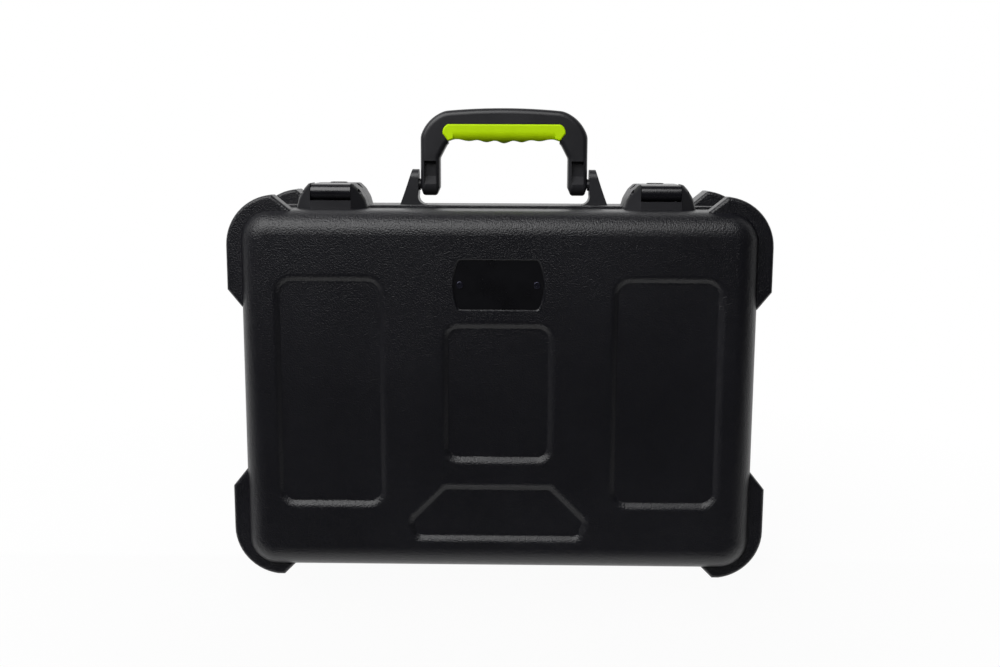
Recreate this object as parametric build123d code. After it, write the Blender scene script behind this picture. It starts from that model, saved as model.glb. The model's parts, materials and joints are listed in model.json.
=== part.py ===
from build123d import *
import os

# A moulded carrying case for handheld microphones, standing upright on its feet.
# X runs across the case, Y from the lid (front) to the base (back), Z up from the feet.
# The origin is the centre of the footprint at floor level.  All sizes are millimetres.

# ---------------------------------------------------------------- driving dimensions
# Case shells
case_width = 439.0          # side wall to side wall
case_height = 312.0         # bottom wall to top wall
lid_depth = 59.6            # front face to the lid's rim
base_depth = 107.6          # base's rim to the back face
rim_gap = 0.8               # seam between the two rims
wall = 4.0
corner_radius = 26.0        # corners of the face, seen from the front
edge_radius = 20.0          # rounding from the face into the sides
rim_width = 7.0             # thickened rim
rim_length = 9.0
lip_rise = 2.3              # raised band round each rim
lip_length = 4.5
lip_round = 0.8

# Corner guards, ribs moulded with the shells; the lower ones are the feet
foot_rise = 9.5             # below the bottom wall
lid_guard_rise = 12.2       # the lid's upper guards above the top wall
back_guard_rise = 12.9      # the base's upper guards stand a little higher
cheek_rise = 12.1           # out from the side walls
guard_radius = 43.0
guard_flat = 6.0            # from the corner's arc to the ramp, at the feet
guard_crown_inset = 3.0     # how much shorter that is at the upper guards
upper_guard_length = 83.0
lower_guard_length = 86.0
guard_taper = 15.0          # length of the cheek's taper
guard_setback = 13.0        # from the faces
lid_guard_depth = 18.0
back_guard_depth = 33.0
guard_round = 3.0

# Recessed panels in the faces
panel_depth = 3.2
panel_taper = 53.0          # degrees
panel_round = 7.0           # outer edge
panel_hollow = 2.5          # edge of the floor
side_panel_width = 92.9
side_panel_margin = 30.4    # from the side wall
side_panel_top = 55.0       # from the top wall
side_panel_bottom = 57.7    # from the bottom wall
side_panel_radius = 15.0
centre_panel_width = 93.1
centre_panel_top = 94.3
centre_panel_bottom = 97.5
centre_panel_radius = 13.0
foot_panel_top = 77.2       # above the bottom wall
foot_panel_bottom = 27.2
foot_panel_waist = 45.4
foot_panel_top_half = 46.4
foot_panel_waist_half = 78.2
foot_panel_bottom_half = 72.0
foot_panel_radius = 9.0

# Badge plate and its screws
badge_height = 41.7
badge_top_margin = 40.5
badge_half_width = 33.2     # at the corners
badge_bulge = 4.8           # of the curved ends
badge_radius = 3.0
badge_recess = 2.6
badge_edge = 1.0            # chamfer of the recess
badge_thickness = 1.6
badge_gap = 0.35
badge_screw_half_pitch = 32.4
badge_screw_radius = 1.4
badge_head_radius = 2.95
badge_head_height = 0.9
badge_head_round = 0.55
badge_slot_width = 0.8
badge_slot_depth = 0.55

# Rim seal
seal_width = 2.6
seal_groove_depth = 2.4
seal_stand = 0.45

# Hinges
hinge_spacing = 220.0
hinge_length = 60.0
hinge_drop = 4.9            # axis below the bottom wall
knuckle_radius = 4.0
knuckle_count = 5
knuckle_gap = 0.4
hinge_pin_radius = 1.5
leaf_thickness = 1.6
leaf_reach = 26.0
leaf_radius = 6.0
leaf_clearance = 0.6        # of the leaves from the other leaf's knuckles
rivet_radius = 2.0
rivet_head_radius = 3.6
rivet_head_height = 1.4
rivet_head_round = 1.0
rivet_reach = 16.0
rivet_pitch = 20.0
running_clearance = 0.05

# Latches
left_latch_inset = 74.2     # latch centre from its side wall
right_latch_inset = 81.1
keeper_height = 21.6
lock_height = 20.8
latch_foot_half = 31.2
latch_shoulder_half = 28.6
latch_shoulder_height = 9.0
latch_shoulder_radius = 14.0
latch_neck_half = 23.8
latch_neck_height = 16.6
latch_neck_radius = 10.0
latch_top_half = 18.8
latch_edge = 0.7
latch_round = 5.0           # between a housing's swept flanks and its sides
keeper_length = 25.6
keeper_sweep = 9.0          # how far the cheeks fall back
window_half = 17.4
sill_height = 7.0
hasp_pin_setback = 7.0      # behind the keeper's front
hasp_pin_height = 14.2
hasp_pin_radius = 1.5
hasp_pin_half = 20.8
pin_recess_radius = 2.8     # open bore outside each end of the pin
barrel_radius = 6.8
hasp_clearance = 0.4
hasp_plate_thickness = 4.0
hasp_plate_top = 21.0
hasp_corner_radius = 3.0
hasp_edge = 0.6
hasp_length = 33.5          # pin axis to the tail
nose_half = 8.0
nose_length = 3.7
nose_bottom = 3.6
nose_slot_low = 6.4
nose_slot_high = 9.8
nose_bar = 4.5              # width left beside the slot
nose_root = 1.0             # how far the nose reaches into the plate
lock_length = 35.6
lock_sweep = 8.0
channel_floor = 3.0
channel_side_clearance = 0.6
channel_end_clearance = 2.4
finger_scoop_radius = 6.0
finger_scoop_depth = 5.0
finger_scoop_setback = 6.0  # from the hasp's tail
cylinder_setback = 24.6     # behind the base's rim
cylinder_radius = 5.5
cylinder_head_radius = 6.3
cylinder_head_depth = 1.3
cylinder_stem_radius = 2.6
cylinder_sunk = 0.2         # below the escutcheon's top
head_clearance = 0.15
seat_clearance = 0.1
escutcheon_radius = 7.6
escutcheon_rise = 0.8
escutcheon_edge = 0.3
cam_radius = 7.2
cam_reach = 13.2
cam_arm_width = 5.0
cam_low = 6.9
cam_thickness = 2.4
cam_chamber_top = 9.9
cam_clearance = 0.5         # round the cam's disc
arm_clearance = 1.0         # round the cam's arm
keyway_width = 1.4
keyway_length = 7.0
keyway_depth = 3.0
shell_screw_radius = 2.0
shell_screw_head_radius = 3.8
shell_screw_head_height = 2.0
shell_screw_head_round = 0.8
cross_length = 4.5          # cross recess in a shell screw's head
cross_width = 1.0
cross_depth = 0.8
latch_screw_depth = 5.5
latch_screw_half_pitch = 24.0

# Carrying handle; heights are above the top wall
handle_setback = 112.0      # pivot behind the front face
handle_offset = 2.7         # handle's middle to the right of the case's
pivot_height = 18.8
handle_half_depth = 10.0
handle_half_width = 76.1
handle_inner_half = 58.2
handle_crown = 87.8
handle_shoulder = 85.3
handle_shoulder_half = 53.0
handle_corner_low = 62.2
corner_bow = 0.35           # how full the corner's curve is, across and up
corner_bow_up = 0.6
handle_bridge = 56.9        # underside of the hand bar's corners
handle_bridge_half = 50.8
handle_haunch = 42.9        # where the legs start to lean in
leg_taper_height = 7.5
leg_outer_taper = 2.6
leg_inner_taper = 3.3
handle_round = 5.0          # along the front and back edges
shoulder_blend = 20.0
corner_blend = 14.0
haunch_blend = 6.0
taper_blend = 3.0
leg_pocket_width = 11.0
leg_pocket_top = 40.3
leg_pocket_ledge = 26.6
leg_pocket_bottom = 19.4
leg_pocket_depth = 6.0
grip_half_length = 56.0
grip_top = 73.4
grip_foot = 59.0
grip_end_drop = 1.2         # the ridged edge starts this far below the foot
grip_crest = 56.2           # the middle finger ridge
grip_ridge_fall = 1.0       # each ridge further out is this much shorter
grip_valley = 60.4
grip_ridge_pitch = 16.0
grip_ridge_steps = 5        # half ridges each side of the middle
grip_proud = 0.7
grip_blunt = 5.0            # length and height of the blunt ends' curve
grip_blunt_fall = 8.5
grip_blunt_bow = 1.2        # how full that curve is, across and down
grip_blunt_bow_down = 3.4
grip_corner = 2.0
grip_round = 1.6
grip_belly_half = 46.5      # length of the rounded underside, from the middle
tongue_half = 4.0
tongue_bottom = 63.5
handle_pin_radius = 3.0
handle_pin_head_radius = 5.0
handle_pin_head = 1.5
handle_pin_head_round = 0.8
pin_head_clearance = 0.4
pin_end_clearance = 0.2
handle_pin_depth = 14.3     # into the leg
boss_radius = 5.3
boss_gap = 0.3
bracket_gap = 1.95          # leg to bracket
bracket_half_depth = 10.5
bracket_height = 32.6
bracket_top_width = 5.7
bracket_bow = 0.57          # where the buttress passes at bracket_bow_height
bracket_bow_height = 0.4
bracket_foot_inner = 6.0    # the foot flares in by this much
bracket_foot_edge = 0.9     # height of the flare's edge
bracket_foot_outer = 17.0
bracket_flare_height = 10.0
bracket_flare_bow = 0.3
bracket_round = 8.0
bracket_spot_face = 6.5     # from the bracket's inner face
bracket_screw_pitch = 12.0
bracket_screw_depth = 8.0

# Foam inserts
foam_gap = 0.6              # from walls and rims
layer_gap = 0.3
foam_seat_gap = 0.3         # from the panel backings
foam_edge_radius = 16.0     # where the foam sits in the shells' rounded edges
lid_foam_stand = 2.6        # short of the lid's rim
mic_block_sunk = 3.6        # below the base's rim
pocket_depth = 62.0
mic_count = 6
pocket_end_web = 17.4       # foam left beyond each end of a pocket
mic_head_width = 56.0
mic_head_length = 72.0
mic_body_width = 38.0
pocket_pitch = 54.5
pocket_web = 12.0
head_pocket_radius = 12.0
body_pocket_radius = 8.0
compartment_radius = 10.0

# ---------------------------------------------------------------- places worked out
case_depth = lid_depth + rim_gap + base_depth
front_y = -case_depth / 2
back_y = case_depth / 2
lid_rim_y = front_y + lid_depth
base_rim_y = back_y - base_depth
hinge_y = (lid_rim_y + base_rim_y) / 2
bottom_z = foot_rise
top_z = bottom_z + case_height
middle_z = (bottom_z + top_z) / 2
side_x = case_width / 2
hinge_z = bottom_z - hinge_drop
pivot_y = front_y + handle_setback
pivot_z = top_z + pivot_height
keeper_front_y = lid_rim_y - keeper_length
hasp_pin_y = keeper_front_y + hasp_pin_setback
hasp_pin_z = top_z + hasp_pin_height
hasp_tail_y = hasp_pin_y + hasp_length
lock_back_y = base_rim_y + lock_length
cylinder_y = base_rim_y + cylinder_setback
latch_places = {"left": left_latch_inset - side_x, "right": side_x - right_latch_inset}
hinge_places = {"left": -hinge_spacing / 2, "right": hinge_spacing / 2}
bracket_inner_x = handle_half_width + bracket_gap
pocket_length = case_height - 2 * (rim_width + foam_gap + pocket_end_web)
hidden = 6.0                # how far joined pieces reach into the shell before it is hollowed
over = 1.0                  # how far a cutting tool reaches past what it cuts
sliver = 0.01               # tolerance of a place that is looked up


# ---------------------------------------------------------------- helpers
def prism(outline, near_y, far_y):
    """Solid between two Y planes, from an outline drawn in X and Z."""
    return extrude(Plane.XZ.offset(-far_y) * outline, far_y - near_y)


def block(low_x, high_x, low_y, high_y, low_z, high_z):
    """Box between three pairs of planes."""
    centre = Pos((low_x + high_x) / 2, (low_y + high_y) / 2, (low_z + high_z) / 2)
    return centre * Box(high_x - low_x, high_y - low_y, high_z - low_z)


def rod_x(radius, low_x, high_x, y, z):
    """Cylinder along X."""
    return Pos((low_x + high_x) / 2, y, z) * Rot(0, 90, 0) * Cylinder(radius, high_x - low_x)


def rod_y(radius, low_y, high_y, x, z):
    """Cylinder along Y."""
    return Pos(x, (low_y + high_y) / 2, z) * Rot(90, 0, 0) * Cylinder(radius, high_y - low_y)


def rod_z(radius, low_z, high_z, x, y):
    """Cylinder along Z."""
    return Pos(x, y, (low_z + high_z) / 2) * Cylinder(radius, high_z - low_z)


def mirrored(shape):
    """The shape with its twin on the other side of the case."""
    return shape + mirror(shape, about=Plane.YZ)


def group(shapes):
    """Separate solids kept together as one compound."""
    solids = []
    for shape in shapes:
        solids.extend(shape.solids())
    return Compound(children=solids)


def case_outline(inset):
    """Rounded outline of the case, moved in by an inset."""
    rectangle = RectangleRounded(case_width - 2 * inset, case_height - 2 * inset, corner_radius - inset)
    return Pos(0, middle_z) * rectangle


# ---------------------------------------------------------------- face panels
def side_panel_outline(grow):
    """Tall panel near one side."""
    height = case_height - side_panel_top - side_panel_bottom
    centre_x = side_x - side_panel_margin - side_panel_width / 2
    centre_z = middle_z + (side_panel_bottom - side_panel_top) / 2
    shape = RectangleRounded(side_panel_width + 2 * grow, height + 2 * grow, side_panel_radius + grow)
    return Pos(centre_x, centre_z) * shape


def centre_panel_outline(grow):
    """Panel in the middle of the face."""
    height = case_height - centre_panel_top - centre_panel_bottom
    centre_z = middle_z + (centre_panel_bottom - centre_panel_top) / 2
    shape = RectangleRounded(centre_panel_width + 2 * grow, height + 2 * grow, centre_panel_radius + grow)
    return Pos(0, centre_z) * shape


def foot_panel_outline(grow):
    """Wide panel near the bottom, its ends drawn out to a waist."""
    half = [
        (foot_panel_top_half, bottom_z + foot_panel_top),
        (foot_panel_waist_half, bottom_z + foot_panel_waist),
        (foot_panel_bottom_half, bottom_z + foot_panel_bottom),
    ]
    other = [(-x, z) for x, z in reversed(half)]
    face = make_face(Polyline(half + other, close=True))
    rounded = fillet(face.vertices(), foot_panel_radius)
    return offset(rounded, grow) if grow else rounded


def badge_outline(shrink):
    """Badge plate: straight top and bottom, ends bowed out."""
    half = badge_half_width - shrink
    high = top_z - badge_top_margin - shrink
    low = top_z - badge_top_margin - badge_height + shrink
    middle = (low + high) / 2
    right = ThreePointArc((half, low), (half + badge_bulge, middle), (half, high))
    left = ThreePointArc((-half, high), (-half - badge_bulge, middle), (-half, low))
    edges = [Line((-half, low), (half, low)), right, Line((half, high), (-half, high)), left]
    face = make_face(edges)
    return fillet(face.vertices(), badge_radius)


def recess(outline, face_y, inward):
    """Tapered recess cut into a face; inward is +1 from the front face and -1 from the back."""
    plane = Plane(origin=(0, face_y, 0), x_dir=(-1 * inward, 0, 0), z_dir=(0, inward, 0))
    sketch = plane * (mirror(outline, about=Plane.YZ) if inward > 0 else outline)
    return extrude(sketch, panel_depth, taper=panel_taper)


def panel_outlines(grow, front):
    """Outlines of a face's panels; only the front has the wide lower panel."""
    side = side_panel_outline(grow)
    found = [side, mirror(side, about=Plane.YZ), centre_panel_outline(grow)]
    if front:
        found.append(foot_panel_outline(grow))
    return found


def face_backing(face_y, inward, front):
    """Thickening behind the panels, so that the wall keeps its thickness there."""
    pads = []
    for outline in panel_outlines(wall / 2, front):
        near = face_y + inward * wall / 2
        far = face_y + inward * (wall + panel_depth)
        pads.append(prism(outline, min(near, far), max(near, far)))
    return pads


def soften_panels(shell, face_y, inward):
    """Round the outer edges of the recesses and hollow the edges of their floors."""
    margin = edge_radius + over

    def lying_at(level):
        def lies(edge):
            box = edge.bounding_box()
            flat = abs(box.min.Y - level) < sliver and abs(box.max.Y - level) < sliver
            centre = edge.center()
            inside_x = abs(centre.X) < side_x - margin
            inside_z = bottom_z + margin < centre.Z < top_z - margin
            return flat and inside_x and inside_z
        return lies

    floor_y = face_y + inward * panel_depth
    shell = fillet(shell.edges().filter_by(lying_at(floor_y)), panel_hollow)
    return fillet(shell.edges().filter_by(lying_at(face_y)), panel_round)


# ---------------------------------------------------------------- corner guards
def guard_outline(rise, length, inset):
    """Guard at the upper right corner: ramp, crown, round corner, cheek and taper."""
    outer_x = side_x + cheek_rise
    crown_z = top_z + rise
    crown_x = outer_x - guard_radius
    centre_z = crown_z - (guard_radius ** 2 - guard_flat ** 2) ** 0.5
    diagonal = guard_radius * 0.5 ** 0.5
    inner = [
        (side_x - hidden, top_z - length),
        (crown_x - rise, top_z - hidden),
        (crown_x - rise, top_z),
        (crown_x + inset, crown_z),
        (crown_x + guard_flat, crown_z),
    ]
    corner = ThreePointArc(
        (crown_x + guard_flat, crown_z),
        (crown_x + diagonal, centre_z + diagonal),
        (outer_x, centre_z),
    )
    cheek = [
        (outer_x, centre_z),
        (outer_x, top_z - length + guard_taper),
        (side_x, top_z - length),
        (side_x - hidden, top_z - length),
    ]
    return make_face([Polyline(inner), corner, Polyline(cheek)])


def guard(rise, length, inset, near_y, far_y):
    """One upper right guard with the edges of both faces rounded."""
    solid = prism(guard_outline(rise, length, inset), near_y, far_y)
    ends = solid.edges().group_by(Axis.Y)
    return fillet(list(ends[0]) + list(ends[-1]), guard_round)


def guards(upper_rise, near_y, far_y):
    """The four guards of one shell."""
    upper = guard(upper_rise, upper_guard_length, guard_crown_inset, near_y, far_y)
    lower = guard(foot_rise, lower_guard_length, 0, near_y, far_y)
    lower = mirror(lower, about=Plane.XY.offset(middle_z))
    return [mirrored(upper), mirrored(lower)]


# ---------------------------------------------------------------- rim lips
def lip(near_y, far_y, outer_end):
    """Raised band round a rim, its edge away from the seam rounded; outer_end is 0 or -1."""
    band = prism(case_outline(-lip_rise), near_y, far_y)
    return fillet(band.edges().group_by(Axis.Y)[outer_end], lip_round)


def lip_gaps(near_y, far_y):
    """Blocks that clear the lip where the latches and hinges sit on the walls."""
    latch_half = latch_foot_half + hasp_clearance
    hinge_half = hinge_length / 2 + leaf_clearance
    high = top_z + lip_rise + over
    low = bottom_z - lip_rise - over
    at_top = [block(x - latch_half, x + latch_half, near_y, far_y, top_z, high)
              for x in latch_places.values()]
    at_bottom = [block(x - hinge_half, x + hinge_half, near_y, far_y, low, bottom_z)
                 for x in hinge_places.values()]
    return at_top + at_bottom


# ---------------------------------------------------------------- fixing places
def rivet_places(x, side):
    """Where a hinge leaf's rivets go through the bottom wall."""
    y = hinge_y + side * rivet_reach
    return [(x + step * rivet_pitch, y) for step in (-1, 0, 1)]


def latch_screw_places(x, y):
    """Two screws, one under each side of a latch housing."""
    return [(x - latch_screw_half_pitch, y), (x + latch_screw_half_pitch, y)]


def keeper_screw_places():
    """All the screws that hold the keepers to the lid."""
    y = lid_rim_y - keeper_length / 2
    return [place for x in latch_places.values() for place in latch_screw_places(x, y)]


def lock_screw_places():
    """All the screws that hold the lock bodies to the base."""
    y = base_rim_y + lock_length / 2
    return [place for x in latch_places.values() for place in latch_screw_places(x, y)]


def bracket_screw_places():
    """All the screws that hold the handle brackets to the base."""
    x = bracket_inner_x + bracket_top_width / 2
    half = bracket_screw_pitch / 2
    return [(handle_offset + side * x, pivot_y + step * half) for side in (-1, 1) for step in (-1, 1)]


def bottom_holes(side):
    """Rivet holes through the bottom wall of one shell."""
    places = [place for x in hinge_places.values() for place in rivet_places(x, side)]
    return [rod_z(rivet_radius, bottom_z - over, bottom_z + rim_width + over, x, y) for x, y in places]


def top_holes(places):
    """Screw holes through the top wall."""
    return [rod_z(shell_screw_radius, top_z - rim_width - over, top_z + over, x, y) for x, y in places]


# ---------------------------------------------------------------- shells
def lid_shell():
    """Front shell: face panels, badge recess, corner guards and rim lip."""
    shell = prism(case_outline(0), front_y, lid_rim_y)
    shell = fillet(shell.edges().group_by(Axis.Y)[0], edge_radius)
    guard_near = front_y + guard_setback
    for piece in guards(lid_guard_rise, guard_near, guard_near + lid_guard_depth):
        shell += piece
    shell += lip(lid_rim_y - lip_length, lid_rim_y, 0)
    for gap in lip_gaps(lid_rim_y - lip_length - over, lid_rim_y + over):
        shell -= gap
    deep = prism(case_outline(wall), front_y + wall, lid_rim_y - rim_length)
    shell -= fillet(deep.edges().group_by(Axis.Y)[0], edge_radius - wall)
    shell -= prism(case_outline(rim_width), lid_rim_y - rim_length - over, lid_rim_y)
    for pad in face_backing(front_y, 1, True):
        shell += pad
    shell += prism(badge_outline(-wall / 2), front_y + wall / 2, front_y + badge_recess + wall)
    for outline in panel_outlines(0, True):
        shell -= recess(outline, front_y, 1)
    shell = soften_panels(shell, front_y, 1)
    shell -= badge_seat()
    for x in (-badge_screw_half_pitch, badge_screw_half_pitch):
        shell -= rod_y(badge_screw_radius, front_y, front_y + edge_radius, x, badge_middle_z())
    for hole in bottom_holes(-1) + top_holes(keeper_screw_places()):
        shell -= hole
    return shell


def base_shell():
    """Rear shell: back panels, corner guards, rim lip and the seal's groove."""
    shell = prism(case_outline(0), base_rim_y, back_y)
    shell = fillet(shell.edges().group_by(Axis.Y)[-1], edge_radius)
    guard_far = back_y - guard_setback
    for piece in guards(back_guard_rise, guard_far - back_guard_depth, guard_far):
        shell += piece
    shell += lip(base_rim_y, base_rim_y + lip_length, -1)
    for gap in lip_gaps(base_rim_y - over, base_rim_y + lip_length + over):
        shell -= gap
    deep = prism(case_outline(wall), base_rim_y + rim_length, back_y - wall)
    shell -= fillet(deep.edges().group_by(Axis.Y)[-1], edge_radius - wall)
    shell -= prism(case_outline(rim_width), base_rim_y, base_rim_y + rim_length + over)
    for pad in face_backing(back_y, -1, False):
        shell += pad
    for outline in panel_outlines(0, False):
        shell -= recess(outline, back_y, -1)
    shell = soften_panels(shell, back_y, -1)
    shell -= seal_ring(base_rim_y - over, base_rim_y + seal_groove_depth)
    for hole in bottom_holes(1) + top_holes(lock_screw_places() + bracket_screw_places()):
        shell -= hole
    return shell


def seal_ring(near_y, far_y):
    """Ring that follows the middle of the rim."""
    outer = case_outline((rim_width - seal_width) / 2)
    inner = case_outline((rim_width + seal_width) / 2)
    return prism(outer - inner, near_y, far_y)


def rim_seal():
    """Rubber cord in the base's groove, its edge rounded."""
    ring = seal_ring(base_rim_y - seal_stand, base_rim_y + seal_groove_depth)
    return fillet(ring.edges().group_by(Axis.Y)[0], seal_width / 4)


# ---------------------------------------------------------------- badge
def badge_middle_z():
    """Height of the badge's middle."""
    return top_z - badge_top_margin - badge_height / 2


def badge_seat():
    """Cutting tool of the badge recess, flared at the face."""
    straight = prism(badge_outline(0), front_y, front_y + badge_recess)
    flare = loft([
        Plane.XZ.offset(-front_y) * badge_outline(-badge_edge),
        Plane.XZ.offset(-front_y - badge_edge) * badge_outline(0),
    ])
    return straight + flare


def badge_plate():
    """Bare plate in the lid's badge recess."""
    near = front_y + badge_recess - badge_thickness
    far = front_y + badge_recess
    plate = prism(badge_outline(badge_gap), near, far)
    for x in (-badge_screw_half_pitch, badge_screw_half_pitch):
        plate -= rod_y(badge_screw_radius, near - over, far + over, x, badge_middle_z())
    return plate


def badge_screws():
    """Two pan-head screws with a straight slot."""
    plate_y = front_y + badge_recess - badge_thickness
    screws = []
    for x in (-badge_screw_half_pitch, badge_screw_half_pitch):
        head = rod_y(badge_head_radius, plate_y - badge_head_height, plate_y, x, badge_middle_z())
        head = fillet(head.edges().group_by(Axis.Y)[0], badge_head_round)
        slot = block(x - badge_head_radius - over, x + badge_head_radius + over,
                     plate_y - badge_head_height - over, plate_y - badge_head_height + badge_slot_depth,
                     badge_middle_z() - badge_slot_width / 2, badge_middle_z() + badge_slot_width / 2)
        shank = rod_y(badge_screw_radius, plate_y, front_y + badge_recess + wall, x, badge_middle_z())
        screws.append(head - slot + shank)
    return group(screws)


# ---------------------------------------------------------------- hinges
def knuckle_spans(x, own):
    """X spans of the knuckles; own is 0 for the base's leaf and 1 for the lid's."""
    pitch = hinge_length / knuckle_count
    start = x - hinge_length / 2
    half_gap = knuckle_gap / 2
    spans = []
    for index in range(own, knuckle_count, 2):
        spans.append((start + index * pitch + half_gap, start + (index + 1) * pitch - half_gap))
    return spans


def hinge_leaf(x, side):
    """Leaf riveted under one shell's bottom wall, with its share of the knuckles."""
    own = 0 if side > 0 else 1
    clear = knuckle_radius + leaf_clearance
    near, far = sorted((hinge_y + side * clear, hinge_y + side * leaf_reach))
    half = hinge_length / 2
    plate = block(x - half, x + half, near, far, bottom_z - leaf_thickness, bottom_z)
    outer_edges = plate.edges().filter_by(Axis.Z).group_by(Axis.Y)[-1 if side > 0 else 0]
    leaf = fillet(outer_edges, leaf_radius)
    for low, high in knuckle_spans(x, own):
        inner, outer = sorted((hinge_y + side * leaf_clearance, hinge_y + side * (clear + over)))
        leaf += block(low, high, inner, outer, bottom_z - leaf_thickness, bottom_z)
        leaf += rod_x(knuckle_radius, low, high, hinge_y, hinge_z)
    bore = hinge_pin_radius if side > 0 else hinge_pin_radius + running_clearance
    leaf -= rod_x(bore, x - half - over, x + half + over, hinge_y, hinge_z)
    for rivet_x, rivet_y in rivet_places(x, side):
        leaf -= rod_z(rivet_radius, bottom_z - leaf_thickness - over, bottom_z + over, rivet_x, rivet_y)
    return leaf


def hinge_pin(x):
    """Pin through all the knuckles."""
    half = hinge_length / 2 - knuckle_gap / 2
    return rod_x(hinge_pin_radius, x - half, x + half, hinge_y, hinge_z)


def rivet(x, y):
    """Rivet with a domed head under the leaf and a set head inside the wall."""
    low = bottom_z - leaf_thickness
    high = bottom_z + wall
    head = rod_z(rivet_head_radius, low - rivet_head_height, low, x, y)
    head = fillet(head.edges().group_by(Axis.Z)[0], rivet_head_round)
    shank = rod_z(rivet_radius, low, high, x, y)
    return head + shank + rod_z(rivet_head_radius, high, high + rivet_head_height, x, y)


def hinge_rivets(side):
    """All the rivets of one shell's two leaves."""
    places = [place for x in hinge_places.values() for place in rivet_places(x, side)]
    return group([rivet(x, y) for x, y in places])


# ---------------------------------------------------------------- latches, drawn about X = 0
def latch_outline(height):
    """Domed section of a latch housing, in X and Z."""
    half = [
        (latch_foot_half, top_z),
        (latch_shoulder_half, top_z + latch_shoulder_height),
        (latch_neck_half, top_z + latch_neck_height),
        (latch_top_half, top_z + height),
    ]
    other = [(-x, z) for x, z in reversed(half)]
    face = make_face(Polyline(half + other, close=True))
    blends = [(latch_shoulder_height, latch_shoulder_radius), (latch_neck_height, latch_neck_radius)]
    for rise, radius in blends:
        level = top_z + rise
        face = fillet(face.vertices().filter_by(lambda vertex: abs(vertex.Y - level) < sliver), radius)
    return face


def swept_plan(flat_half, near_y, far_y, sweep, at_front):
    """Column whose front or back face falls away towards the sides."""
    tip, root = (near_y, far_y) if at_front else (far_y, near_y)
    fall = sweep if at_front else -sweep
    half = [(latch_foot_half, root), (latch_foot_half, tip + fall), (flat_half, tip)]
    other = [(-x, y) for x, y in reversed(half)]
    plan = make_face(Polyline(half + other, close=True))
    return extrude(Pos(0, 0, top_z) * plan, keeper_height)


def soften_flanks(body, flat_half, tip_y, sweep):
    """Round the creases where a housing's swept flanks meet its sides."""
    def crease(edge):
        centre = edge.center()
        outside = abs(centre.X) > flat_half + sliver and centre.Z > top_z + sliver
        at_end = abs(centre.Y - tip_y) < sweep + sliver
        return outside and at_end and abs((edge % 0.5).Z) > sliver

    return fillet(body.edges().filter_by(crease), latch_round)


def keeper_housing():
    """Lid half of a latch: two cheeks that carry the hasp's pin, and a sill between them."""
    body = prism(latch_outline(keeper_height), keeper_front_y, lid_rim_y)
    body &= swept_plan(window_half, keeper_front_y, lid_rim_y, keeper_sweep, True)
    body = soften_flanks(body, window_half, keeper_front_y, keeper_sweep)
    body = chamfer(body.edges().group_by(Axis.Z)[-1], latch_edge)
    body -= block(-window_half, window_half, keeper_front_y - over, lid_rim_y + over,
                  top_z + sill_height, top_z + keeper_height + over)
    body -= hasp_pin()
    for low, high in ((-latch_foot_half, -hasp_pin_half), (hasp_pin_half, latch_foot_half)):
        body -= rod_x(pin_recess_radius, low, high, hasp_pin_y, hasp_pin_z)
    for x, y in latch_screw_places(0, lid_rim_y - keeper_length / 2):
        body -= rod_z(shell_screw_radius, top_z - over, top_z + latch_screw_depth, x, y)
    return body


def hasp_pin():
    """Pin across the keeper's cheeks."""
    return rod_x(hasp_pin_radius, -hasp_pin_half, hasp_pin_half, hasp_pin_y, hasp_pin_z)


def hasp():
    """Swinging hasp: barrel round the pin, plate over the seam, nose with a slot for the cam."""
    half = window_half - hasp_clearance
    plate_low = top_z + hasp_plate_top - hasp_plate_thickness
    arm = rod_x(barrel_radius, -half, half, hasp_pin_y, hasp_pin_z)
    plate = block(-half, half, hasp_pin_y, hasp_tail_y, plate_low, top_z + hasp_plate_top)
    plate = fillet(plate.edges().filter_by(Axis.Z).group_by(Axis.Y)[-1], hasp_corner_radius)
    plate = chamfer(plate.edges().group_by(Axis.Z)[-1], hasp_edge)
    nose = block(-nose_half, nose_half, hasp_tail_y - nose_length, hasp_tail_y,
                 top_z + nose_bottom, plate_low + nose_root)
    nose -= block(nose_bar - nose_half, nose_half + over, hasp_tail_y - nose_length - over,
                  hasp_tail_y + over, top_z + nose_slot_low, top_z + nose_slot_high)
    bore = rod_x(hasp_pin_radius + running_clearance, -half - over, half + over, hasp_pin_y, hasp_pin_z)
    return arm + plate + nose - bore


def cam_chamber():
    """Space that the cam sweeps under the lock body, a quarter turn and a little more."""
    low = top_z - over
    high = top_z + cam_chamber_top
    reach = cam_reach + arm_clearance
    half_arm = cam_arm_width / 2 + arm_clearance
    disc = rod_z(cam_radius + cam_clearance, low, high, 0, cylinder_y)
    round_space = rod_z(reach, low, high, 0, cylinder_y)
    quarter = block(-half_arm, reach, cylinder_y - reach, cylinder_y + half_arm, low, high)
    return disc + (round_space & quarter)


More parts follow.
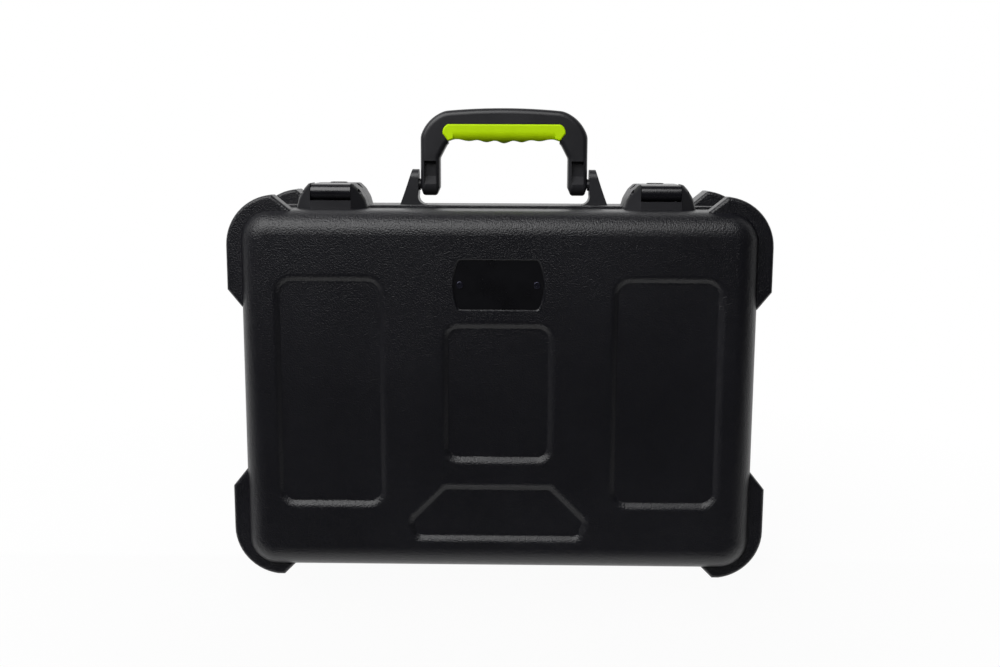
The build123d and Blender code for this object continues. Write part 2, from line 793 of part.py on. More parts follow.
def lock_body():
    """Base half of a latch: channel for the hasp, bore for the key cylinder, chamber for the cam."""
    body = prism(latch_outline(lock_height), base_rim_y, lock_back_y)
    body &= swept_plan(latch_top_half, base_rim_y, lock_back_y, lock_sweep, False)
    body = soften_flanks(body, latch_top_half, lock_back_y, lock_sweep)
    body = chamfer(body.edges().group_by(Axis.Z)[-1], latch_edge)
    top = top_z + lock_height
    above = top + escutcheon_rise + over
    ring = rod_z(escutcheon_radius, top - over, top + escutcheon_rise, 0, cylinder_y)
    body += chamfer(ring.edges().group_by(Axis.Z)[-1], escutcheon_edge)
    channel_half = window_half - hasp_clearance + channel_side_clearance
    channel_end = hasp_tail_y + channel_end_clearance
    body -= block(-channel_half, channel_half, base_rim_y - over, channel_end, top_z + channel_floor, above)
    scoop_y = hasp_tail_y - finger_scoop_setback
    for x in (-channel_half, channel_half):
        body -= rod_z(finger_scoop_radius, top - finger_scoop_depth, above, x, scoop_y)
    seat = top + escutcheon_rise - cylinder_head_depth - seat_clearance
    body -= rod_z(cylinder_radius + running_clearance, top_z + over, above, 0, cylinder_y)
    body -= rod_z(cylinder_head_radius + head_clearance, seat, above, 0, cylinder_y)
    body -= cam_chamber()
    for x, y in latch_screw_places(0, base_rim_y + lock_length / 2):
        body -= rod_z(shell_screw_radius, top_z - over, top_z + latch_screw_depth, x, y)
    return body


def lock_cylinder():
    """Key cylinder: slotted head, body in the bore and a stem for the cam."""
    top = top_z + lock_height + escutcheon_rise - cylinder_sunk
    shoulder = top_z + lock_height + escutcheon_rise - cylinder_head_depth
    cam_top = top_z + cam_low + cam_thickness
    plug = rod_z(cylinder_head_radius, shoulder, top, 0, cylinder_y)
    plug = chamfer(plug.edges().group_by(Axis.Z)[-1], escutcheon_edge)
    plug += rod_z(cylinder_radius, cam_top, shoulder, 0, cylinder_y)
    plug += rod_z(cylinder_stem_radius, top_z + cam_low, cam_top, 0, cylinder_y)
    half_length = keyway_length / 2
    half_width = keyway_width / 2
    plug -= block(-half_length, half_length, cylinder_y - half_width, cylinder_y + half_width,
                  top - keyway_depth, top + over)
    return plug


def lock_cam():
    """Cam on the cylinder's stem, its arm turned aside from the hasp's nose."""
    low = top_z + cam_low
    high = low + cam_thickness
    cam = rod_z(cam_radius, low, high, 0, cylinder_y)
    arm = block(0, cam_reach, cylinder_y - cam_arm_width / 2, cylinder_y + cam_arm_width / 2, low, high)
    arm &= rod_z(cam_reach, low, high, 0, cylinder_y)
    return cam + arm - rod_z(cylinder_stem_radius, low - over, high + over, 0, cylinder_y)


def shell_screw(x, y, depth):
    """Screw from inside, its head under the top wall and its shank up into a fitting."""
    under = top_z - wall
    head = rod_z(shell_screw_head_radius, under - shell_screw_head_height, under, x, y)
    head = fillet(head.edges().group_by(Axis.Z)[0], shell_screw_head_round)
    face = Pos(x, y, under - shell_screw_head_height)
    head -= face * Box(cross_length, cross_width, 2 * cross_depth)
    head -= face * Box(cross_width, cross_length, 2 * cross_depth)
    return head + rod_z(shell_screw_radius, under, top_z + depth, x, y)


# ---------------------------------------------------------------- handle
def handle_outline():
    """Front view of the handle: crowned bar, broken corners, leaning haunches and tapered legs."""
    leg_z = pivot_z - handle_half_depth
    taper_z = leg_z + leg_taper_height
    corner_z = top_z + handle_corner_low
    shoulder_z = top_z + handle_shoulder
    outside = Polyline(
        (handle_inner_half + leg_inner_taper, leg_z),
        (handle_half_width - leg_outer_taper, leg_z),
        (handle_half_width, taper_z),
        (handle_half_width, corner_z),
    )
    knee_x = handle_half_width - corner_bow * (handle_half_width - handle_shoulder_half)
    knee_z = corner_z + corner_bow_up * (shoulder_z - corner_z)
    shoulder = (handle_shoulder_half, shoulder_z)
    corner = ThreePointArc((handle_half_width, corner_z), (knee_x, knee_z), shoulder)
    crown = ThreePointArc(shoulder, (0, top_z + handle_crown), (-handle_shoulder_half, shoulder_z))
    inside_half = [
        (handle_inner_half + leg_inner_taper, leg_z),
        (handle_inner_half, taper_z),
        (handle_inner_half, top_z + handle_haunch),
        (handle_bridge_half, top_z + handle_bridge),
    ]
    inside = Polyline(inside_half + [(-x, z) for x, z in reversed(inside_half)])
    others = [mirror(edge, about=Plane.YZ) for edge in (corner, outside)]
    face = make_face([outside, corner, crown] + others + [inside])
    blends = [
        (shoulder_z - over, shoulder_z + over, shoulder_blend),
        (corner_z - over, corner_z + over, corner_blend),
        (top_z + handle_haunch - over, top_z + handle_bridge + over, haunch_blend),
        (leg_z - over, taper_z + over, taper_blend),
    ]
    for low, high, radius in blends:
        face = fillet(face.vertices().filter_by(lambda vertex: low < vertex.Y < high), radius)
    return face


def leg_side_profile():
    """Side view of the handle: straight depth with the legs' ends rounded about the pivot."""
    height = handle_crown + over - pivot_height
    upright = Pos(pivot_y, pivot_z + height / 2) * Rectangle(2 * handle_half_depth, height)
    sketch = Plane.YZ * (upright + Pos(pivot_y, pivot_z) * Circle(handle_half_depth))
    return extrude(sketch, handle_half_width + over, both=True)


def leg_pocket():
    """Coring pocket in the front of the right leg, with a sloping ledge at its foot."""
    face = pivot_y - handle_half_depth
    deep = face + leg_pocket_depth
    side = Polyline(
        (face - over, top_z + leg_pocket_bottom - over),
        (face, top_z + leg_pocket_bottom),
        (deep, top_z + leg_pocket_ledge),
        (deep, top_z + leg_pocket_top),
        (face - over, top_z + leg_pocket_top),
        close=True,
    )
    middle = (handle_half_width + handle_inner_half) / 2
    return extrude(Plane.YZ.offset(middle - leg_pocket_width / 2) * make_face(side), leg_pocket_width)


def handle_frame():
    """One-piece handle with a seat for the grip."""
    frame = prism(handle_outline(), pivot_y - handle_half_depth, pivot_y + handle_half_depth)
    rims = frame.edges().group_by(Axis.Y)
    frame = fillet(list(rims[0]) + list(rims[-1]), handle_round)
    frame &= leg_side_profile()
    front_pocket = leg_pocket()
    back_pocket = mirror(front_pocket, about=Plane.XZ.offset(-pivot_y))
    for pocket in (front_pocket, back_pocket):
        frame -= mirrored(pocket)
    near = pivot_y - handle_half_depth - over
    far = pivot_y + handle_half_depth + over
    seat = prism(grip_outline(), near, far)
    seat += block(-handle_bridge_half, handle_bridge_half, near, far,
                  top_z + handle_bridge - over, top_z + tongue_bottom)
    frame -= seat - grip_tongue()
    bore_end = handle_half_width - handle_pin_depth - pin_end_clearance
    bore = rod_x(handle_pin_radius + running_clearance, bore_end, handle_half_width + over, pivot_y, pivot_z)
    frame -= mirrored(bore)
    return frame


def grip_tongue():
    """The bar's thin web that the grip wraps."""
    reach = grip_half_length + over
    return block(-reach, reach, pivot_y - tongue_half, pivot_y + tongue_half,
                 top_z + tongue_bottom, top_z + grip_top + over)


def grip_outline():
    """Front view of the grip: straight top, blunt ends and finger ridges along the underside."""
    top = top_z + grip_top
    start = top_z + grip_foot - grip_end_drop
    end = grip_half_length
    side_z = top - grip_blunt_fall
    ridge = []
    for step in range(-grip_ridge_steps, grip_ridge_steps + 1):
        x = step * grip_ridge_pitch / 2
        crest = top_z + grip_crest + grip_ridge_fall * abs(step) / 2
        ridge.append((x, crest if step % 2 == 0 else (crest + top_z + grip_valley) / 2))
    lower = Spline([(-handle_bridge_half, start)] + ridge + [(handle_bridge_half, start)])
    bow = (end - grip_blunt_bow, top - grip_blunt_bow_down)
    upper_right = ThreePointArc((end - grip_blunt, top), bow, (end, side_z))
    face = make_face([
        Line((-end + grip_blunt, top), (end - grip_blunt, top)),
        upper_right,
        Line((end, side_z), (handle_bridge_half, start)),
        lower,
        Line((-end, side_z), (-handle_bridge_half, start)),
        mirror(upper_right, about=Plane.YZ),
    ])
    return fillet(face.vertices(), grip_corner)


def handle_grip():
    """Soft grip that wraps the bar's tongue from below."""
    half = handle_half_depth + grip_proud
    grip = prism(grip_outline(), pivot_y - half, pivot_y + half)
    rims = grip.edges().group_by(Axis.Y)
    grip = fillet(list(rims[0]) + list(rims[-1]), grip_round)
    belly_z = top_z + grip_crest + half
    corners = block(-grip_belly_half, grip_belly_half, pivot_y - half - over, pivot_y + half + over,
                    top_z + grip_crest - over, belly_z)
    corners -= rod_x(half, -grip_belly_half - over, grip_belly_half + over, pivot_y, belly_z)
    return grip - corners - grip_tongue()


def handle_bracket():
    """Right bracket: foot, curved buttress, boss beside the leg and a seat for the pin's head."""
    inner = bracket_inner_x
    outer_top = inner + bracket_top_width
    outer_foot = inner + bracket_foot_outer
    flare = (inner - bracket_flare_bow * bracket_foot_inner, top_z + bracket_flare_bow * bracket_flare_height)
    sweep = ThreePointArc(
        (outer_foot, top_z),
        (outer_top + bracket_bow * (outer_foot - outer_top), top_z + bracket_bow_height * bracket_height),
        (outer_top, top_z + bracket_height),
    )
    top = Polyline(
        (outer_top, top_z + bracket_height),
        (inner, top_z + bracket_height),
        (inner, top_z + bracket_flare_height),
    )
    foot_x = inner - bracket_foot_inner
    inside = ThreePointArc((inner, top_z + bracket_flare_height), flare, (foot_x, top_z + bracket_foot_edge))
    foot = Polyline((foot_x, top_z + bracket_foot_edge), (foot_x, top_z), (outer_foot, top_z))
    face = make_face([sweep, top, inside, foot])
    bracket = prism(face, pivot_y - bracket_half_depth, pivot_y + bracket_half_depth)
    bracket = fillet(bracket.edges().filter_by(Axis.X).group_by(Axis.Z)[-1], bracket_round)
    bracket += rod_x(boss_radius, handle_half_width + boss_gap, inner + over, pivot_y, pivot_z)
    spot = inner + bracket_spot_face
    outside = outer_foot + over
    bracket -= rod_x(handle_pin_head_radius + pin_head_clearance, spot, outside, pivot_y, pivot_z)
    bracket -= rod_x(handle_pin_radius, handle_half_width, spot + over, pivot_y, pivot_z)
    for x, y in bracket_screw_places():
        bracket -= rod_z(shell_screw_radius, top_z - over, top_z + bracket_screw_depth, x - handle_offset, y)
    return bracket


def handle_pin():
    """Right pin: head against the bracket, shank into the leg."""
    spot = bracket_inner_x + bracket_spot_face
    head = rod_x(handle_pin_head_radius, spot, spot + handle_pin_head, pivot_y, pivot_z)
    head = fillet(head.edges().group_by(Axis.X)[-1], handle_pin_head_round)
    return head + rod_x(handle_pin_radius, handle_half_width - handle_pin_depth, spot, pivot_y, pivot_z)


# ---------------------------------------------------------------- foam inserts
def lid_foam():
    """Foam that fills the lid and presses on the microphones."""
    front = front_y + wall + panel_depth + foam_seat_gap
    foam = prism(case_outline(rim_width + foam_gap), front, lid_rim_y - lid_foam_stand)
    return fillet(foam.edges().group_by(Axis.Y)[0], foam_edge_radius)


def mic_block_span():
    """Front and back of the perforated block."""
    front = base_rim_y + mic_block_sunk
    return front, front + pocket_depth


def base_pad_foam():
    """Solid pad behind the perforated block; it is the pockets' floor."""
    near = mic_block_span()[1] + layer_gap
    foam = prism(case_outline(rim_width + foam_gap), near, back_y - wall - panel_depth - foam_seat_gap)
    return fillet(foam.edges().group_by(Axis.Y)[-1], foam_edge_radius)


def pocket_outline(x, head_up):
    """Keyhole pocket for one microphone lying along Z."""
    side = 1 if head_up else -1
    head_z = middle_z + side * (pocket_length - mic_head_length) / 2
    head = Pos(x, head_z) * RectangleRounded(mic_head_width, mic_head_length, head_pocket_radius)
    return head + Pos(x, middle_z) * RectangleRounded(mic_body_width, pocket_length, body_pocket_radius)


def mic_block_foam():
    """Perforated block: keyhole pockets head to tail, and an open compartment beside them."""
    near, far = mic_block_span()
    half = side_x - rim_width - foam_gap
    foam = prism(case_outline(rim_width + foam_gap), near, far)
    first = -half + pocket_web + mic_head_width / 2
    for index in range(mic_count):
        outline = pocket_outline(first + index * pocket_pitch, index % 2 == 0)
        foam -= prism(outline, near - over, far + over)
    low = first + (mic_count - 1) * pocket_pitch + mic_head_width / 2 + pocket_web
    high = half - pocket_web
    compartment = RectangleRounded(high - low, pocket_length, compartment_radius)
    return foam - prism(Pos((low + high) / 2, middle_z) * compartment, near - over, far + over)


# ---------------------------------------------------------------- the assembly
def nodes():
    """Every separate piece by name, where it lies in the closed case."""
    found = {
        "lid_shell": lid_shell(),
        "base_shell": base_shell(),
        "rim_seal": rim_seal(),
        "badge_plate": badge_plate(),
        "badge_screws": badge_screws(),
        "hinge_base_rivets": hinge_rivets(1),
        "hinge_lid_rivets": hinge_rivets(-1),
        "keeper_screws": group([shell_screw(x, y, latch_screw_depth) for x, y in keeper_screw_places()]),
        "lock_screws": group([shell_screw(x, y, latch_screw_depth) for x, y in lock_screw_places()]),
        "bracket_screws": group([shell_screw(x, y, bracket_screw_depth) for x, y in bracket_screw_places()]),
        "lid_foam": lid_foam(),
        "mic_block_foam": mic_block_foam(),
        "base_pad_foam": base_pad_foam(),
    }
    for name, x in hinge_places.items():
        found["hinge_base_leaf_" + name] = hinge_leaf(x, 1)
        found["hinge_lid_leaf_" + name] = hinge_leaf(x, -1)
        found["hinge_pin_" + name] = hinge_pin(x)
    latch = {
        "keeper_housing": keeper_housing(),
        "hasp": hasp(),
        "hasp_pin": hasp_pin(),
        "lock_body": lock_body(),
        "lock_cylinder": lock_cylinder(),
        "lock_cam": lock_cam(),
    }
    for name, x in latch_places.items():
        for piece, shape in latch.items():
            found[piece + "_" + name] = Pos(x, 0, 0) * shape
    handle = {
        "handle_frame": handle_frame(),
        "handle_grip": handle_grip(),
        "handle_bracket_right": handle_bracket(),
        "handle_bracket_left": mirror(handle_bracket(), about=Plane.YZ),
        "handle_pin_right": handle_pin(),
        "handle_pin_left": mirror(handle_pin(), about=Plane.YZ),
    }
    for name, shape in handle.items():
        found[name] = Pos(handle_offset, 0, 0) * shape
    return found


os.makedirs("parts", exist_ok=True)
for node, shape in nodes().items():
    export_step(shape, "parts/" + node + ".step")
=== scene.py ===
"""Looks and setting of the microphone case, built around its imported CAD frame.

Everything is in metres in the case's own frame: +X across, +Y from the lid to the base,
+Z up from the plane that the feet stand on.
"""

import json
import math

import bmesh
import bpy
from mathutils import Euler, Matrix, Vector

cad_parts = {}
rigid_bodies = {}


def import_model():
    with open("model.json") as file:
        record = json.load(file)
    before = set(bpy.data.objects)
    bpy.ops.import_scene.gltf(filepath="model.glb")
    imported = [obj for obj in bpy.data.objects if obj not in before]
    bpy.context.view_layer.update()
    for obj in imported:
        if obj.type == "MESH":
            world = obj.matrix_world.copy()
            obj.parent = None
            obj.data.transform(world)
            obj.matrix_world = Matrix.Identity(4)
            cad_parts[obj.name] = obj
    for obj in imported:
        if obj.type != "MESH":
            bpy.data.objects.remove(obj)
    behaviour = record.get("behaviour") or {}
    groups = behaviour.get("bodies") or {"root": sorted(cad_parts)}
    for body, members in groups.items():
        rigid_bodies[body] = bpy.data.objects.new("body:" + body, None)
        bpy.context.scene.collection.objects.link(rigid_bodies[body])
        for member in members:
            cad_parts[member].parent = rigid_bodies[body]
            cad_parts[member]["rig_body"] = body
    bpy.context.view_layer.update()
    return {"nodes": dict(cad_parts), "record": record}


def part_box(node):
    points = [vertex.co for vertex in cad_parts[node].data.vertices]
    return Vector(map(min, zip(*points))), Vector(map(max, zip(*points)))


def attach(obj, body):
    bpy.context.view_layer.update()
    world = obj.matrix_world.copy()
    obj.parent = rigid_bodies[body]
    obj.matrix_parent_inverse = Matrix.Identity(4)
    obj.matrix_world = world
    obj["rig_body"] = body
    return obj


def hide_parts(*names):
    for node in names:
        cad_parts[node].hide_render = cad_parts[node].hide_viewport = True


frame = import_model()
nodes = frame["nodes"]
MM = 0.001

# ---------------------------------------------------------------- the photograph's camera
FRAME_WIDTH_PX = 1000
FOCAL_PX = 1161.0
SENSOR_MM = 36.0
CAMERA_PLACE = (16.6 * MM, -1049.4 * MM, 373.6 * MM)
CAMERA_PITCH = math.radians(9.08)
CAMERA_YAW = math.radians(0.90)
CAMERA_ROLL = math.radians(0.24)
NEAR_CLIP, FAR_CLIP = 0.02, 50.0

# ---------------------------------------------------------------- places taken from the frame
LID_BACK_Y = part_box("lid_shell")[1].y
BASE_FRONT_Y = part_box("base_shell")[0].y
SEAM_Y = (LID_BACK_Y + BASE_FRONT_Y) / 2
FOAM_BACK_Y, FOAM_FACE_Y = (corner.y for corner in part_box("lid_foam"))

# ---------------------------------------------------------------- foam
CRATE_PITCH = 38.0 * MM       # between peaks of the lid's egg crate
CRATE_DEPTH = 20.0 * MM
CRATE_BACKING = 22.0 * MM     # flat layer behind the peaks
LID_FOAM_VOXEL = 4.0 * MM
MIC_BLOCK_VOXEL = 2.6 * MM
BASE_PAD_VOXEL = 5.0 * MM

# ---------------------------------------------------------------- setting
FLOOR_Z = -0.42               # under the lid where it hangs open
FLOOR_THICKNESS = 0.05
FLOOR_HALF_WIDTH = 2.0
FLOOR_FRONT_Y = -0.48         # further forward it would mirror in the case's face
FLOOR_BACK_Y = 2.0
COUNTER_HALF_WIDTH = 1.2
COUNTER_BACK_Y = 1.1
COUNTER_BEHIND_SEAM = 0.004
COUNTER_EDGE = 0.004
SHADOW_FROM, SHADOW_TO = 0.25, 0.75   # distances over which the paint's white becomes whole
SHADOW_WHITE = 0.955                  # share of white nearer than that; the rest shows the shadow

WALL_FROM, WALL_TO = 0.0, 0.35        # backward part of the directions over which the wall fades in
GAP_FROM, GAP_TO = 0.93, 0.82         # upward part of those over which it fades in from overhead
ROOM_LEVEL = 0.037
WALL_LEVEL = 1.0

SOFTBOX_PLACE = (-0.65, -1.15, 1.55)
SOFTBOX_SIZE = (2.2, 1.5)
SOFTBOX_POWER = 42.0
SOFTBOX_AIM = (0.0, 0.0, 0.17)


# ---------------------------------------------------------------- node helpers
class Nodes:
    """A node tree with short ways to add and join nodes."""

    def __init__(self, tree, coordinate):
        self.tree = tree
        self.place = self.add("ShaderNodeTexCoord").outputs[coordinate]

    def add(self, kind, **values):
        """New node; text and true/false values set its properties, the rest its inputs."""
        node = self.tree.nodes.new(kind)
        for name, value in values.items():
            if isinstance(value, (str, bool)):
                setattr(node, name, value)
            else:
                self.put(self.socket(node, name), value)
        return node

    def socket(self, node, name):
        """A node's input by its name in lower case with underscores."""
        wanted = name.replace("_", " ")
        return next(entry for entry in node.inputs if entry.name.lower() == wanted)

    def put(self, socket, value):
        """Link a socket, or set its value."""
        if isinstance(value, bpy.types.NodeSocket):
            self.tree.links.new(value, socket)
        else:
            socket.default_value = value

    def scaled(self, x, y, z):
        """Object coordinates stretched along each axis."""
        node = self.add("ShaderNodeMapping")
        self.put(node.inputs["Vector"], self.place)
        node.inputs["Scale"].default_value = (x, y, z)
        return node.outputs["Vector"]

    def noise(self, scale, detail, roughness, vector=None):
        """Value noise from 0 to 1."""
        node = self.add("ShaderNodeTexNoise", scale=scale, detail=detail, roughness=roughness)
        self.put(node.inputs["Vector"], vector or self.place)
        return node.outputs["Fac"]

    def cells(self, scale, smoothness=0.0):
        """Distance inside cells, with rounded borders where a smoothness is given."""
        node = self.add("ShaderNodeTexVoronoi", feature="SMOOTH_F1" if smoothness else "F1", scale=scale)
        if smoothness:
            self.put(node.inputs["Smoothness"], smoothness)
        self.put(node.inputs["Vector"], self.place)
        return node.outputs["Distance"]

    def math(self, operation, first, second):
        """One arithmetic step."""
        node = self.add("ShaderNodeMath", operation=operation)
        self.put(node.inputs[0], first)
        self.put(node.inputs[1], second)
        return node.outputs[0]

    def blend(self, first, first_share, second, second_share):
        """Sum of two values, each by its share."""
        return self.math("ADD", self.math("MULTIPLY", first, first_share),
                         self.math("MULTIPLY", second, second_share))

    def span(self, value, low, high, new_low=0.0, new_high=1.0):
        """Value remapped from one range to another, clamped."""
        node = self.add("ShaderNodeMapRange", clamp=True)
        for index, entry in enumerate((value, low, high, new_low, new_high)):
            self.put(node.inputs[index], entry)
        return node.outputs[0]

    def middle(self, value, new_low=0.0, new_high=1.0):
        """The middle of a noise's range stretched over a new one."""
        return self.span(value, 0.3, 0.7, new_low, new_high)

    def mix(self, factor, first, second):
        """Colour between two colours."""
        node = self.add("ShaderNodeMixRGB")
        self.put(node.inputs["Fac"], factor)
        self.put(node.inputs["Color1"], first)
        self.put(node.inputs["Color2"], second)
        return node.outputs["Color"]

    def bump(self, height, distance, strength):
        """Surface normal bent by a height."""
        node = self.add("ShaderNodeBump", strength=strength, distance=distance)
        self.put(node.inputs["Height"], height)
        return node.outputs["Normal"]


class Shader(Nodes):
    """A material."""

    def __init__(self, name):
        self.material = bpy.data.materials.new(name)
        self.material.use_nodes = True
        super().__init__(self.material.node_tree, "Object")
        self.surface = self.tree.nodes["Principled BSDF"]

    def finish(self, **values):
        """Set the surface's inputs and give back the material."""
        for name, value in values.items():
            self.put(self.socket(self.surface, name), value)
        return self.material


def grey(value, tint=(1.0, 1.0, 1.0)):
    """Opaque colour from one level and a tint."""
    return tuple(value * part for part in tint) + (1.0,)


COOL = (1.0, 1.0, 1.5)        # bluish black of the shells, hasps, badge and coated steel
SLATE = (1.0, 1.0, 1.18)      # greyer black of the handle, brackets and latch housings


# ---------------------------------------------------------------- materials
def pebbled_plastic():
    """Near-black polyethylene with a moulded leather grain."""
    shader = Shader("pebbled_plastic")
    pebbles = shader.cells(850.0, 0.5)
    creases = shader.noise(2000.0, 4.0, 0.6)
    drift = shader.noise(9.0, 3.0, 0.55)
    speck = shader.noise(2400.0, 2.0, 0.5)
    height = shader.blend(pebbles, -1.1, creases, 0.55)
    tone = shader.blend(drift, 0.6, speck, 0.4)
    colour = shader.mix(shader.middle(tone), grey(0.0042, COOL), grey(0.0064, COOL))
    rough = shader.math("ADD", shader.middle(drift, 0.29, 0.34), shader.middle(speck, -0.03, 0.03))
    return shader.finish(base_color=colour, roughness=rough, normal=shader.bump(height, 0.30 * MM, 0.9))


def skinned(name, skin, drift, colours, rough, bump, **surface):
    """Plain finish: a fine skin in the bump, and a slow drift of colour and roughness.

    skin and drift are noises as (scale, detail, roughness), bump is (distance, strength).
    """
    shader = Shader(name)
    fine = shader.noise(*skin)
    slow = shader.noise(*drift)
    return shader.finish(
        base_color=shader.mix(shader.middle(slow), *colours),
        roughness=shader.middle(slow, *rough),
        normal=shader.bump(fine, *bump),
        **surface,
    )


def satin_nylon():
    """Smooth black nylon of the handle, brackets and latch housings."""
    shader = Shader("satin_nylon")
    fine = shader.noise(3200.0, 3.0, 0.6)
    drift = shader.noise(24.0, 3.0, 0.5)
    colour = shader.mix(shader.middle(drift), grey(0.0140, SLATE), grey(0.0190, SLATE))
    rough = shader.span(drift, 0.25, 0.75, 0.36, 0.42)
    return shader.finish(base_color=colour, roughness=rough, normal=shader.bump(fine, 0.05 * MM, 0.5))


def gloss_nylon():
    """Smoother black of the hasps."""
    return skinned("gloss_nylon", (2600.0, 2.0, 0.5), (40.0, 4.0, 0.55),
                   (grey(0.0040, COOL), grey(0.0060, COOL)), (0.24, 0.30), (0.03 * MM, 0.4),
                   specular_ior_level=0.65)


def lime_rubber():
    """Soft lime-green overmould with a fine matt skin."""
    return skinned("lime_rubber", (2800.0, 3.0, 0.6), (60.0, 3.0, 0.5),
                   ((0.57, 0.88, 0.001, 1.0), (0.63, 0.96, 0.002, 1.0)), (0.46, 0.56), (0.05 * MM, 0.6),
                   specular_ior_level=0.15)


def badge_enamel():
    """Smooth dark plate, left bare."""
    return skinned("badge_enamel", (2200.0, 2.0, 0.5), (50.0, 3.0, 0.5),
                   (grey(0.0020, COOL), grey(0.0032, COOL)), (0.26, 0.31), (0.03 * MM, 0.4))


def coated_steel():
    """Black-coated steel with faint bare specks."""
    shader = Shader("coated_steel")
    fine = shader.noise(1800.0, 4.0, 0.6)
    drift = shader.noise(120.0, 4.0, 0.6)
    colour = shader.mix(shader.span(drift, 0.62, 0.75), grey(0.055, COOL), grey(0.16))
    return shader.finish(base_color=colour, roughness=shader.middle(fine, 0.20, 0.30), metallic=0.9,
                         normal=shader.bump(fine, 0.03 * MM, 0.4))


def plated_steel():
    """Zinc-plated steel with turned marks."""
    shader = Shader("plated_steel")
    marks = shader.noise(900.0, 3.0, 0.6, shader.scaled(1.0, 1.0, 8.0))
    drift = shader.noise(90.0, 4.0, 0.6)
    colour = shader.mix(shader.middle(drift), grey(0.42), grey(0.55))
    return shader.finish(base_color=colour, roughness=shader.middle(marks, 0.24, 0.40), metallic=1.0,
                         normal=shader.bump(marks, 0.03 * MM, 0.4))


def seal_rubber():
    """Matt black rubber."""
    shader = Shader("seal_rubber")
    fine = shader.noise(1600.0, 4.0, 0.6)
    colour = shader.mix(shader.middle(fine), grey(0.006), grey(0.011))
    return shader.finish(base_color=colour, roughness=shader.middle(fine, 0.6, 0.75),
                         normal=shader.bump(fine, 0.1 * MM, 0.5))


def open_foam():
    """Charcoal polyurethane foam with open cells; the colour is darker in their pits, as painted shade.
    """
    shader = Shader("open_foam")
    pores = shader.cells(900.0)
    large = shader.noise(420.0, 4.0, 0.65)
    drift = shader.noise(14.0, 2.0, 0.5)
    depth = shader.blend(pores, 0.8, large, 0.7)
    # painted shade: the colour is darker where the bump's height is low, in the pits of the cells
    colour = shader.mix(shader.span(depth, 0.35, 0.85), grey(0.012), grey(0.034))
    colour = shader.mix(shader.middle(drift, 0.0, 0.25), colour, grey(0.040))
    return shader.finish(base_color=colour, roughness=0.95, specular_ior_level=0.25,
                         normal=shader.bump(depth, 0.7 * MM, 0.9))


FINISHES = {
    "shell_plastic": pebbled_plastic(),
    "fitting_plastic": satin_nylon(),
    "gloss_fitting": gloss_nylon(),
    "grip_rubber": lime_rubber(),
    "badge_black": badge_enamel(),
    "black_steel": coated_steel(),
    "bare_steel": plated_steel(),
    "seal_rubber": seal_rubber(),
    "foam": open_foam(),
}


def dress_cad_nodes():
    """Give every CAD node the finish of its record slot."""
    for entry in frame["record"]["subparts"]:
        thing = nodes[entry["node"]]
        for place in thing.material_slots:
            place.material = FINISHES[entry["material_slot"]]


# ---------------------------------------------------------------- foam
def copy_of(node, name):
    """A new object with a copy of a CAD node's mesh."""
    thing = bpy.data.objects.new(name, nodes[node].data.copy())
    bpy.context.scene.collection.objects.link(thing)
    return thing


def settle(thing):
    """Apply the object's modifiers to its mesh."""
    graph = bpy.context.evaluated_depsgraph_get()
    mesh = bpy.data.meshes.new_from_object(thing.evaluated_get(graph))
    thing.modifiers.clear()
    thing.data = mesh


def remeshed(thing, voxel):
    """Even quads over the whole piece."""
    step = thing.modifiers.new("even", "REMESH")
    step.mode = "VOXEL"
    step.voxel_size = voxel
    settle(thing)


def softened(thing, rounds):
    """Blunt the cut edges."""
    step = thing.modifiers.new("blunt", "SMOOTH")
    step.factor = 0.5
    step.iterations = rounds
    settle(thing)


def foam_piece(node, name, voxel, rounds, shape=None):
    """Soft stand-in for a CAD foam solid."""
    thing = copy_of(node, name)
    remeshed(thing, voxel)
    if shape:
        for vertex in thing.data.vertices:
            vertex.co = shape(vertex.co)
    softened(thing, rounds)
    thing.data.materials.clear()
    thing.data.materials.append(FINISHES["foam"])
    for polygon in thing.data.polygons:
        polygon.use_smooth = True
    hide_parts(node)
    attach(thing, nodes[node]["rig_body"])


def egg_crate(point):
    """Peaks and hollows in the face of the lid's foam; its flat back stays."""
    start = FOAM_BACK_Y + CRATE_BACKING
    reach = (point.y - start) / (FOAM_FACE_Y - start)
    wave = math.cos(math.tau * point.x / CRATE_PITCH) * math.cos(math.tau * point.z / CRATE_PITCH)
    sink = max(reach, 0.0) * CRATE_DEPTH * (0.5 - 0.5 * wave)
    return Vector((point.x, point.y - sink, point.z))


# ---------------------------------------------------------------- setting
def stage_box(name, low, high, material, bevel=0.0):
    """Block of the setting, from its corners."""
    mesh = bpy.data.meshes.new(name)
    build = bmesh.new()
    bmesh.ops.create_cube(build, size=1.0)
    for vertex in build.verts:
        vertex.co = Vector([low[i] + (vertex.co[i] + 0.5) * (high[i] - low[i]) for i in range(3)])
    build.to_mesh(mesh)
    build.free()
    mesh.materials.append(material)
    thing = bpy.data.objects.new(name, mesh)
    bpy.context.scene.collection.objects.link(thing)
    if bevel:
        step = thing.modifiers.new("edge", "BEVEL")
        step.width = bevel
        step.segments = 6


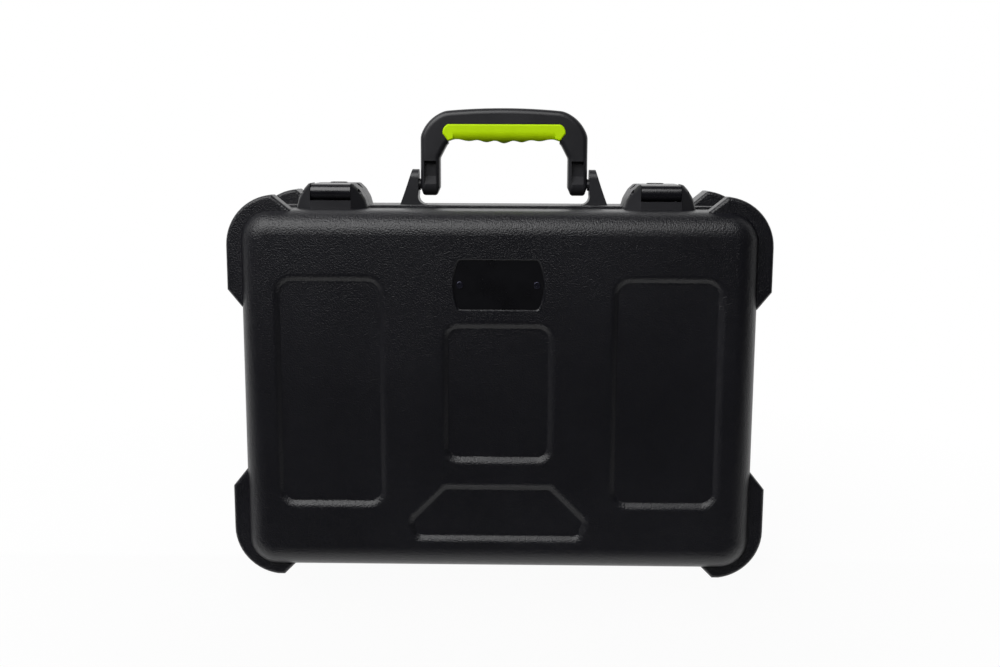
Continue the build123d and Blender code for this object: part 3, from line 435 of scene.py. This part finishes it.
def pale_surface():
    """Floor paint: white to the eye, with the case's shadow left in it."""
    shader = Shader("pale_surface")
    speckle = shader.noise(6.0, 2.0, 0.5)
    shader.finish(base_color=shader.mix(speckle, grey(0.78), grey(0.82)), roughness=0.8)
    glow = shader.add("ShaderNodeEmission", strength=1.0)
    path = shader.add("ShaderNodeLightPath").outputs
    seen = shader.math("MAXIMUM", path["Is Camera Ray"], path["Is Transmission Ray"])
    seen = shader.math("MAXIMUM", seen, path["Is Glossy Ray"])
    blend = shader.add("ShaderNodeMixShader")
    away = shader.add("ShaderNodeVectorMath", operation="LENGTH")
    shader.put(away.inputs[0], shader.place)
    white = shader.span(away.outputs["Value"], SHADOW_FROM, SHADOW_TO, SHADOW_WHITE, 1.0)
    lit, shown = shader.surface.outputs[0], glow.outputs[0]
    for index, entry in enumerate((shader.math("MULTIPLY", seen, white), lit, shown)):
        shader.put(blend.inputs[index], entry)
    shader.put(shader.tree.nodes["Material Output"].inputs["Surface"], blend.outputs[0])
    return shader.material


def setting():
    """A pale counter that the base stands on, its front edge under the seam, and a pale floor below."""
    paint = pale_surface()
    stage_box("counter", (-COUNTER_HALF_WIDTH, SEAM_Y + COUNTER_BEHIND_SEAM, FLOOR_Z),
              (COUNTER_HALF_WIDTH, COUNTER_BACK_Y, 0.0), paint, COUNTER_EDGE)
    stage_box("floor", (-FLOOR_HALF_WIDTH, FLOOR_FRONT_Y, FLOOR_Z - FLOOR_THICKNESS),
              (FLOOR_HALF_WIDTH, FLOOR_BACK_Y, FLOOR_Z), paint)


def softbox():
    """Rectangular light above and in front of the case, aimed at its middle."""
    light = bpy.data.lights.new("front_softbox", "AREA")
    light.shape = "RECTANGLE"
    light.size, light.size_y = SOFTBOX_SIZE
    light.energy = SOFTBOX_POWER
    thing = bpy.data.objects.new("front_softbox", light)
    thing.location = SOFTBOX_PLACE
    toward = Vector(SOFTBOX_AIM) - Vector(SOFTBOX_PLACE)
    thing.rotation_euler = toward.to_track_quat("-Z", "Y").to_euler()
    thing.visible_camera = False
    bpy.context.scene.collection.objects.link(thing)


def studio_world():
    """White to the camera; for light and reflections a bright wall behind and a dim room in front."""
    world = bpy.data.worlds.new("studio")
    world.use_nodes = True
    sky = Nodes(world.node_tree, "Generated")
    split = sky.add("ShaderNodeSeparateXYZ", vector=sky.place).outputs
    behind = sky.span(split["Y"], WALL_FROM, WALL_TO)
    below_gap = sky.span(split["Z"], GAP_FROM, GAP_TO)
    wall = sky.math("MULTIPLY", behind, below_gap)
    level = sky.span(wall, 0.0, 1.0, ROOM_LEVEL, WALL_LEVEL)
    path = sky.add("ShaderNodeLightPath").outputs
    seen = sky.math("MAXIMUM", path["Is Camera Ray"], path["Is Transmission Ray"])
    mirrored = sky.math("MULTIPLY", path["Is Glossy Ray"], wall)
    seen = sky.math("MAXIMUM", seen, mirrored)
    back = world.node_tree.nodes["Background"]
    sky.put(back.inputs["Color"], (1.0, 1.0, 1.0, 1.0))
    sky.put(back.inputs["Strength"], sky.math("MAXIMUM", level, seen))
    bpy.context.scene.world = world


def camera():
    """The photograph's camera."""
    lens = bpy.data.cameras.new("camera")
    lens.sensor_fit = "HORIZONTAL"
    lens.sensor_width = SENSOR_MM
    lens.lens = FOCAL_PX / FRAME_WIDTH_PX * SENSOR_MM
    lens.clip_start = NEAR_CLIP
    lens.clip_end = FAR_CLIP
    thing = bpy.data.objects.new("camera", lens)
    turn = Euler((math.pi / 2 - CAMERA_PITCH, 0.0, CAMERA_YAW)).to_matrix().to_4x4()
    thing.matrix_world = Matrix.Translation(CAMERA_PLACE) @ turn @ Matrix.Rotation(CAMERA_ROLL, 4, "Z")
    bpy.context.scene.collection.objects.link(thing)
    bpy.context.scene.camera = thing


# ---------------------------------------------------------------- the scene
dress_cad_nodes()
foam_piece("lid_foam", "lid_foam_crate", LID_FOAM_VOXEL, rounds=4, shape=egg_crate)
foam_piece("mic_block_foam", "mic_block_cut", MIC_BLOCK_VOXEL, rounds=3)
foam_piece("base_pad_foam", "base_pad_soft", BASE_PAD_VOXEL, rounds=3)

setting()
studio_world()
softbox()
camera()
bpy.context.scene.view_settings.view_transform = "Standard"
